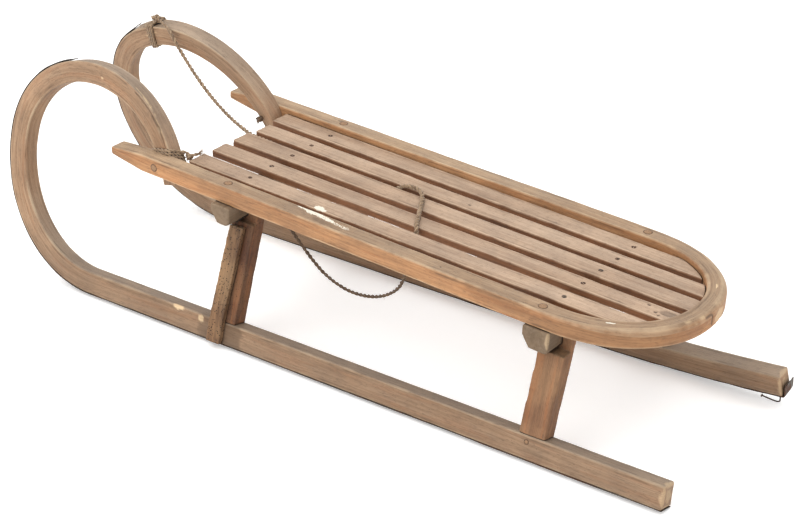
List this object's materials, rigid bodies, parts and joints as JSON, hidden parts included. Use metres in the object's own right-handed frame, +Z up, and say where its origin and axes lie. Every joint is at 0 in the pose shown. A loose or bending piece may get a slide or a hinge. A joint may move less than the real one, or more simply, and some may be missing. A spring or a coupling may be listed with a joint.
{
  "type": "wooden toboggan",
  "caption": "Bentwood sled with tall curled runners on splayed legs, a slatted seat inside a curved rail, steel runner shoes and a slack pull twine.",
  "frame": {"origin": "middle of the seat's deck: on top of the middle slat, in the middle plane, midway between the bolsters", "axes": "+X forwards towards the horns, +Y to the sled's left, +Z up; the ground is 233 mm below the origin"},
  "size_m": [1.259, 0.3765, 0.3844],
  "materials": {
    "runner_wood": "weathered ash with worn oil, bare grey grain on top",
    "rail_wood": "old orange-brown varnish, worn pale on top",
    "slat_wood": "bare sun-greyed boards with open grain",
    "bolster_wood": "dark weathered hardwood, grey end grain",
    "leg_wood": "dark reddish weathered wood",
    "splint_wood": "rough worm-eaten plank",
    "peg_wood": "end grain, slightly darker than its neighbours",
    "shoe_steel": "dark thin strip, polished by snow under the foot",
    "fastener_steel": "dull, lightly rusted",
    "twine": "brown natural-fibre twine, matt and hairy"
  },
  "bodies": {
    "sled": {"left_runner": "runner_wood", "left_runner_shoe": "shoe_steel", "left_shoe_nail_1": "fastener_steel", "left_shoe_nail_2": "fastener_steel", "left_shoe_nail_3": "fastener_steel", "left_shoe_nail_4": "fastener_steel", "right_runner": "runner_wood", "right_runner_shoe": "shoe_steel", "right_shoe_nail_1": "fastener_steel", "right_shoe_nail_2": "fastener_steel", "right_shoe_nail_3": "fastener_steel", "right_shoe_nail_4": "fastener_steel", "seat_rail": "rail_wood", "slat_1": "slat_wood", "slat_2": "slat_wood", "slat_3": "slat_wood", "slat_4": "slat_wood", "slat_5": "slat_wood", "front_bolster": "bolster_wood", "rear_bolster": "bolster_wood", "front_slat_screw_1": "fastener_steel", "front_slat_screw_2": "fastener_steel", "front_slat_screw_3": "fastener_steel", "front_slat_screw_4": "fastener_steel", "front_slat_screw_5": "fastener_steel", "front_left_rail_plug": "peg_wood", "front_left_leg": "leg_wood", "front_left_leg_peg": "peg_wood", "front_right_rail_plug": "peg_wood", "front_right_leg": "leg_wood", "front_right_leg_peg": "peg_wood", "rear_slat_screw_1": "fastener_steel", "rear_slat_screw_2": "fastener_steel", "rear_slat_screw_3": "fastener_steel", "rear_slat_screw_4": "fastener_steel", "rear_slat_screw_5": "fastener_steel", "rear_left_rail_plug": "peg_wood", "rear_left_leg": "leg_wood", "rear_left_leg_peg": "peg_wood", "rear_right_rail_plug": "peg_wood", "rear_right_leg": "leg_wood", "rear_right_leg_peg": "peg_wood", "front_left_leg_splint": "splint_wood", "left_horn_plug": "peg_wood", "right_horn_plug": "peg_wood", "bent_nail": "fastener_steel", "right_horn_lashing": "twine", "left_horn_lashing": "twine", "right_tail_knot": "twine", "twine_seat_run": "twine", "twine_tail_run": "twine"},
    "twine_span": {"twine_span": "twine"},
    "twine_loop": {"twine_loop": "twine"}
  },
  "joints": [
    {"name": "twine_span_swing", "type": "hinge", "parent": "sled", "child": "twine_span", "pos_m": [0.58069, -0.07139, 0.13691], "axis": [0.8439, -0.1586, 0.5125], "range_deg": [-45, 45]},
    {"name": "twine_loop_swing", "type": "hinge", "parent": "sled", "child": "twine_loop", "pos_m": [0.23752, 0.062, -0.05401], "axis": [0.9903, 0, -0.1392], "range_deg": [-60, 60]}
  ]
}
